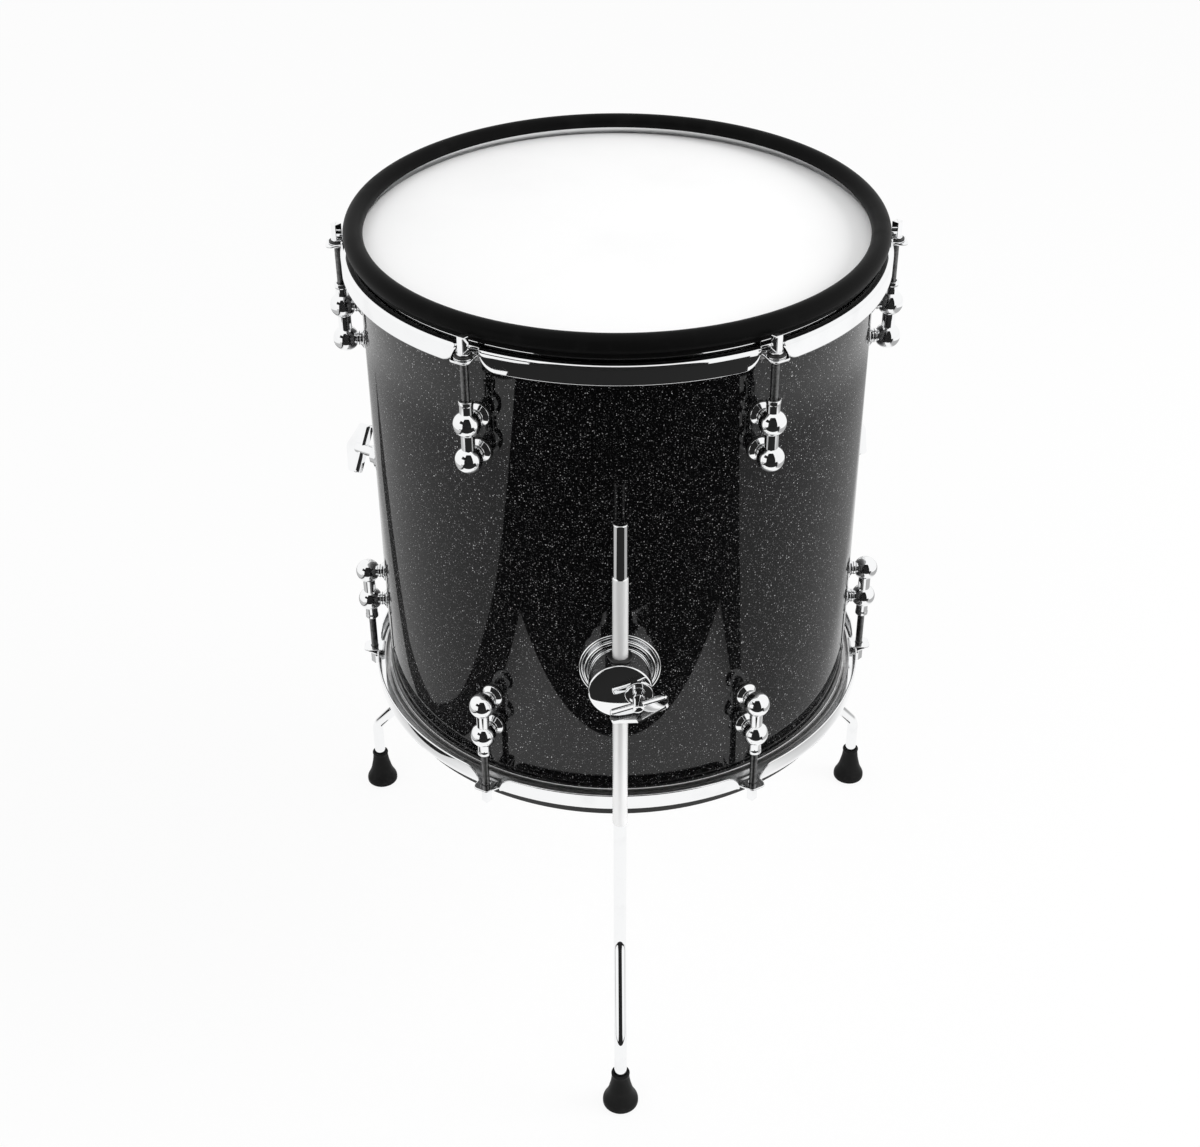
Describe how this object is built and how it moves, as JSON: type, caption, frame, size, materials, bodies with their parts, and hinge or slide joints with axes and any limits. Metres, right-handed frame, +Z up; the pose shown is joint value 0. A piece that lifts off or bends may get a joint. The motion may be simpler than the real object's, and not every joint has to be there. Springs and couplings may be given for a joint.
{
  "type": "floor tom",
  "caption": "Floor tom: sparkle-wrapped shell with pressed metal hoops, rubber rim cover, ball lugs, wing-screw leg brackets and cranked sliding legs on rubber feet.",
  "frame": {"origin": "on the floor, under the middle of the whole footprint", "axes": "+Z up along the drum's axis, which is also the longest extent; -Y towards the front leg, +X to the right of someone who faces that leg"},
  "size_m": [0.46, 0.4536, 0.6206],
  "materials": {
    "shell_wood": "sealed plywood",
    "sparkle_wrap": "glossy black sparkle wrap",
    "nylon": "black nylon",
    "drumhead_film": "plain white coated film",
    "aluminium": "rolled",
    "chrome": "polished chrome plate",
    "rubber": "satin black rubber",
    "zinc_steel": "zinc-plated steel"
  },
  "bodies": {
    "drum": {"shell": "shell_wood", "shell_wrap": "sparkle_wrap", "vent_grommet": "nylon", "batter_lug_1": "chrome", "batter_lug_2": "chrome", "batter_lug_3": "chrome", "batter_lug_4": "chrome", "batter_lug_5": "chrome", "batter_lug_6": "chrome", "resonant_lug_1": "chrome", "resonant_lug_2": "chrome", "resonant_lug_3": "chrome", "resonant_lug_4": "chrome", "resonant_lug_5": "chrome", "resonant_lug_6": "chrome", "bracket_flange_front": "chrome", "bracket_flange_right": "chrome", "bracket_flange_left": "chrome", "bracket_body_front": "chrome", "bracket_body_right": "chrome", "bracket_body_left": "chrome", "backing_plate_front": "zinc_steel", "backing_plate_right": "zinc_steel", "backing_plate_left": "zinc_steel"},
    "batter": {"batter_hoop": "chrome", "rim_cover": "rubber", "batter_head_film": "drumhead_film", "batter_flesh_hoop": "aluminium"},
    "resonant": {"resonant_hoop": "chrome", "resonant_head_film": "drumhead_film", "resonant_flesh_hoop": "aluminium"},
    "batter_rod_1": {"batter_tension_rod_1": "chrome"},
    "batter_rod_2": {"batter_tension_rod_2": "chrome"},
    "batter_rod_3": {"batter_tension_rod_3": "chrome"},
    "batter_rod_4": {"batter_tension_rod_4": "chrome"},
    "batter_rod_5": {"batter_tension_rod_5": "chrome"},
    "batter_rod_6": {"batter_tension_rod_6": "chrome"},
    "resonant_rod_1": {"resonant_tension_rod_1": "chrome"},
    "resonant_rod_2": {"resonant_tension_rod_2": "chrome"},
    "resonant_rod_3": {"resonant_tension_rod_3": "chrome"},
    "resonant_rod_4": {"resonant_tension_rod_4": "chrome"},
    "resonant_rod_5": {"resonant_tension_rod_5": "chrome"},
    "resonant_rod_6": {"resonant_tension_rod_6": "chrome"},
    "bush_front": {"leg_bush_front": "nylon"},
    "leg_front": {"leg_front": "chrome", "leg_foot_front": "rubber"},
    "wing_front": {"wing_screw_front": "chrome"},
    "jaw_front": {"clamp_jaw_front": "zinc_steel"},
    "bush_right": {"leg_bush_right": "nylon"},
    "leg_right": {"leg_right": "chrome", "leg_foot_right": "rubber"},
    "wing_right": {"wing_screw_right": "chrome"},
    "jaw_right": {"clamp_jaw_right": "zinc_steel"},
    "bush_left": {"leg_bush_left": "nylon"},
    "leg_left": {"leg_left": "chrome", "leg_foot_left": "rubber"},
    "wing_left": {"wing_screw_left": "chrome"},
    "jaw_left": {"clamp_jaw_left": "zinc_steel"}
  },
  "joints": [
    {"name": "batter_head_lift", "type": "slide", "parent": "drum", "child": "batter", "axis": [0, 0, 1], "range_m": [0, 0.003]},
    {"name": "resonant_head_drop", "type": "slide", "parent": "drum", "child": "resonant", "axis": [0, 0, -1], "range_m": [0, 0.003]},
    {"name": "batter_rod_1_turn", "type": "hinge", "parent": "batter", "child": "batter_rod_1", "pos_m": [0.1932, 0.03675, 0.5835], "axis": [0, 0, 1], "range_deg": [0, 1021]},
    {"name": "batter_rod_2_turn", "type": "hinge", "parent": "batter", "child": "batter_rod_2", "pos_m": [0.0966, 0.20407, 0.5835], "axis": [0, 0, 1], "range_deg": [0, 1021]},
    {"name": "batter_rod_3_turn", "type": "hinge", "parent": "batter", "child": "batter_rod_3", "pos_m": [-0.0966, 0.20407, 0.5835], "axis": [0, 0, 1], "range_deg": [0, 1021]},
    {"name": "batter_rod_4_turn", "type": "hinge", "parent": "batter", "child": "batter_rod_4", "pos_m": [-0.1932, 0.03675, 0.5835], "axis": [0, 0, 1], "range_deg": [0, 1021]},
    {"name": "batter_rod_5_turn", "type": "hinge", "parent": "batter", "child": "batter_rod_5", "pos_m": [-0.0966, -0.13057, 0.5835], "axis": [0, 0, 1], "range_deg": [0, 1021]},
    {"name": "batter_rod_6_turn", "type": "hinge", "parent": "batter", "child": "batter_rod_6", "pos_m": [0.0966, -0.13057, 0.5835], "axis": [0, 0, 1], "range_deg": [0, 1021]},
    {"name": "resonant_rod_1_turn", "type": "hinge", "parent": "resonant", "child": "resonant_rod_1", "pos_m": [0.1932, 0.03675, 0.2635], "axis": [0, 0, -1], "range_deg": [0, 1021]},
    {"name": "resonant_rod_2_turn", "type": "hinge", "parent": "resonant", "child": "resonant_rod_2", "pos_m": [0.0966, -0.13057, 0.2635], "axis": [0, 0, -1], "range_deg": [0, 1021]},
    {"name": "resonant_rod_3_turn", "type": "hinge", "parent": "resonant", "child": "resonant_rod_3", "pos_m": [-0.0966, -0.13057, 0.2635], "axis": [0, 0, -1], "range_deg": [0, 1021]},
    {"name": "resonant_rod_4_turn", "type": "hinge", "parent": "resonant", "child": "resonant_rod_4", "pos_m": [-0.1932, 0.03675, 0.2635], "axis": [0, 0, -1], "range_deg": [0, 1021]},
    {"name": "resonant_rod_5_turn", "type": "hinge", "parent": "resonant", "child": "resonant_rod_5", "pos_m": [-0.0966, 0.20407, 0.2635], "axis": [0, 0, -1], "range_deg": [0, 1021]},
    {"name": "resonant_rod_6_turn", "type": "hinge", "parent": "resonant", "child": "resonant_rod_6", "pos_m": [0.0966, 0.20407, 0.2635], "axis": [0, 0, -1], "range_deg": [0, 1021]},
    {"name": "leg_front_swivel", "type": "hinge", "parent": "drum", "child": "bush_front", "pos_m": [0, -0.16575, 0.37], "axis": [0, 0, 1], "continuous": true},
    {"name": "leg_front_height", "type": "slide", "parent": "bush_front", "child": "leg_front", "axis": [0, 0, 1], "range_m": [-0.09, 0.09]},
    {"name": "wing_front_turn", "type": "hinge", "parent": "drum", "child": "wing_front", "pos_m": [0.0123, -0.18825, 0.37], "axis": [0, -1, 0], "range_deg": [0, 540]},
    {"name": "jaw_front_release", "type": "slide", "parent": "drum", "child": "jaw_front", "axis": [0, 1, 0], "range_m": [0, 0.0015]},
    {"name": "leg_right_swivel", "type": "hinge", "parent": "drum", "child": "bush_right", "pos_m": [0.17537, 0.138, 0.37], "axis": [0, 0, 1], "continuous": true},
    {"name": "leg_right_height", "type": "slide", "parent": "bush_right", "child": "leg_right", "axis": [0, 0, 1], "range_m": [-0.09, 0.09]},
    {"name": "wing_right_turn", "type": "hinge", "parent": "drum", "child": "wing_right", "pos_m": [0.18871, 0.1599, 0.37], "axis": [0.866, 0.5, 0], "range_deg": [0, 540]},
    {"name": "jaw_right_release", "type": "slide", "parent": "drum", "child": "jaw_right", "axis": [-0.866, -0.5, 0], "range_m": [0, 0.0015]},
    {"name": "leg_left_swivel", "type": "hinge", "parent": "drum", "child": "bush_left", "pos_m": [-0.17537, 0.138, 0.37], "axis": [0, 0, 1], "continuous": true},
    {"name": "leg_left_height", "type": "slide", "parent": "bush_left", "child": "leg_left", "axis": [0, 0, 1], "range_m": [-0.09, 0.09]},
    {"name": "wing_left_turn", "type": "hinge", "parent": "drum", "child": "wing_left", "pos_m": [-0.20101, 0.1386, 0.37], "axis": [-0.866, 0.5, 0], "range_deg": [0, 540]},
    {"name": "jaw_left_release", "type": "slide", "parent": "drum", "child": "jaw_left", "axis": [0.866, -0.5, 0], "range_m": [0, 0.0015]}
  ],
  "couplings": [
    {"joint": "batter_rod_1_turn", "follows": "batter_head_lift", "rad_per_m": 5936.9},
    {"joint": "batter_rod_2_turn", "follows": "batter_head_lift", "rad_per_m": 5936.9},
    {"joint": "batter_rod_3_turn", "follows": "batter_head_lift", "rad_per_m": 5936.9},
    {"joint": "batter_rod_4_turn", "follows": "batter_head_lift", "rad_per_m": 5936.9},
    {"joint": "batter_rod_5_turn", "follows": "batter_head_lift", "rad_per_m": 5936.9},
    {"joint": "batter_rod_6_turn", "follows": "batter_head_lift", "rad_per_m": 5936.9},
    {"joint": "resonant_rod_1_turn", "follows": "resonant_head_drop", "rad_per_m": 5936.9},
    {"joint": "resonant_rod_2_turn", "follows": "resonant_head_drop", "rad_per_m": 5936.9},
    {"joint": "resonant_rod_3_turn", "follows": "resonant_head_drop", "rad_per_m": 5936.9},
    {"joint": "resonant_rod_4_turn", "follows": "resonant_head_drop", "rad_per_m": 5936.9},
    {"joint": "resonant_rod_5_turn", "follows": "resonant_head_drop", "rad_per_m": 5936.9},
    {"joint": "resonant_rod_6_turn", "follows": "resonant_head_drop", "rad_per_m": 5936.9},
    {"joint": "jaw_front_release", "follows": "wing_front_turn", "m_per_rad": 0.000159},
    {"joint": "jaw_right_release", "follows": "wing_right_turn", "m_per_rad": 0.000159},
    {"joint": "jaw_left_release", "follows": "wing_left_turn", "m_per_rad": 0.000159}
  ]
}
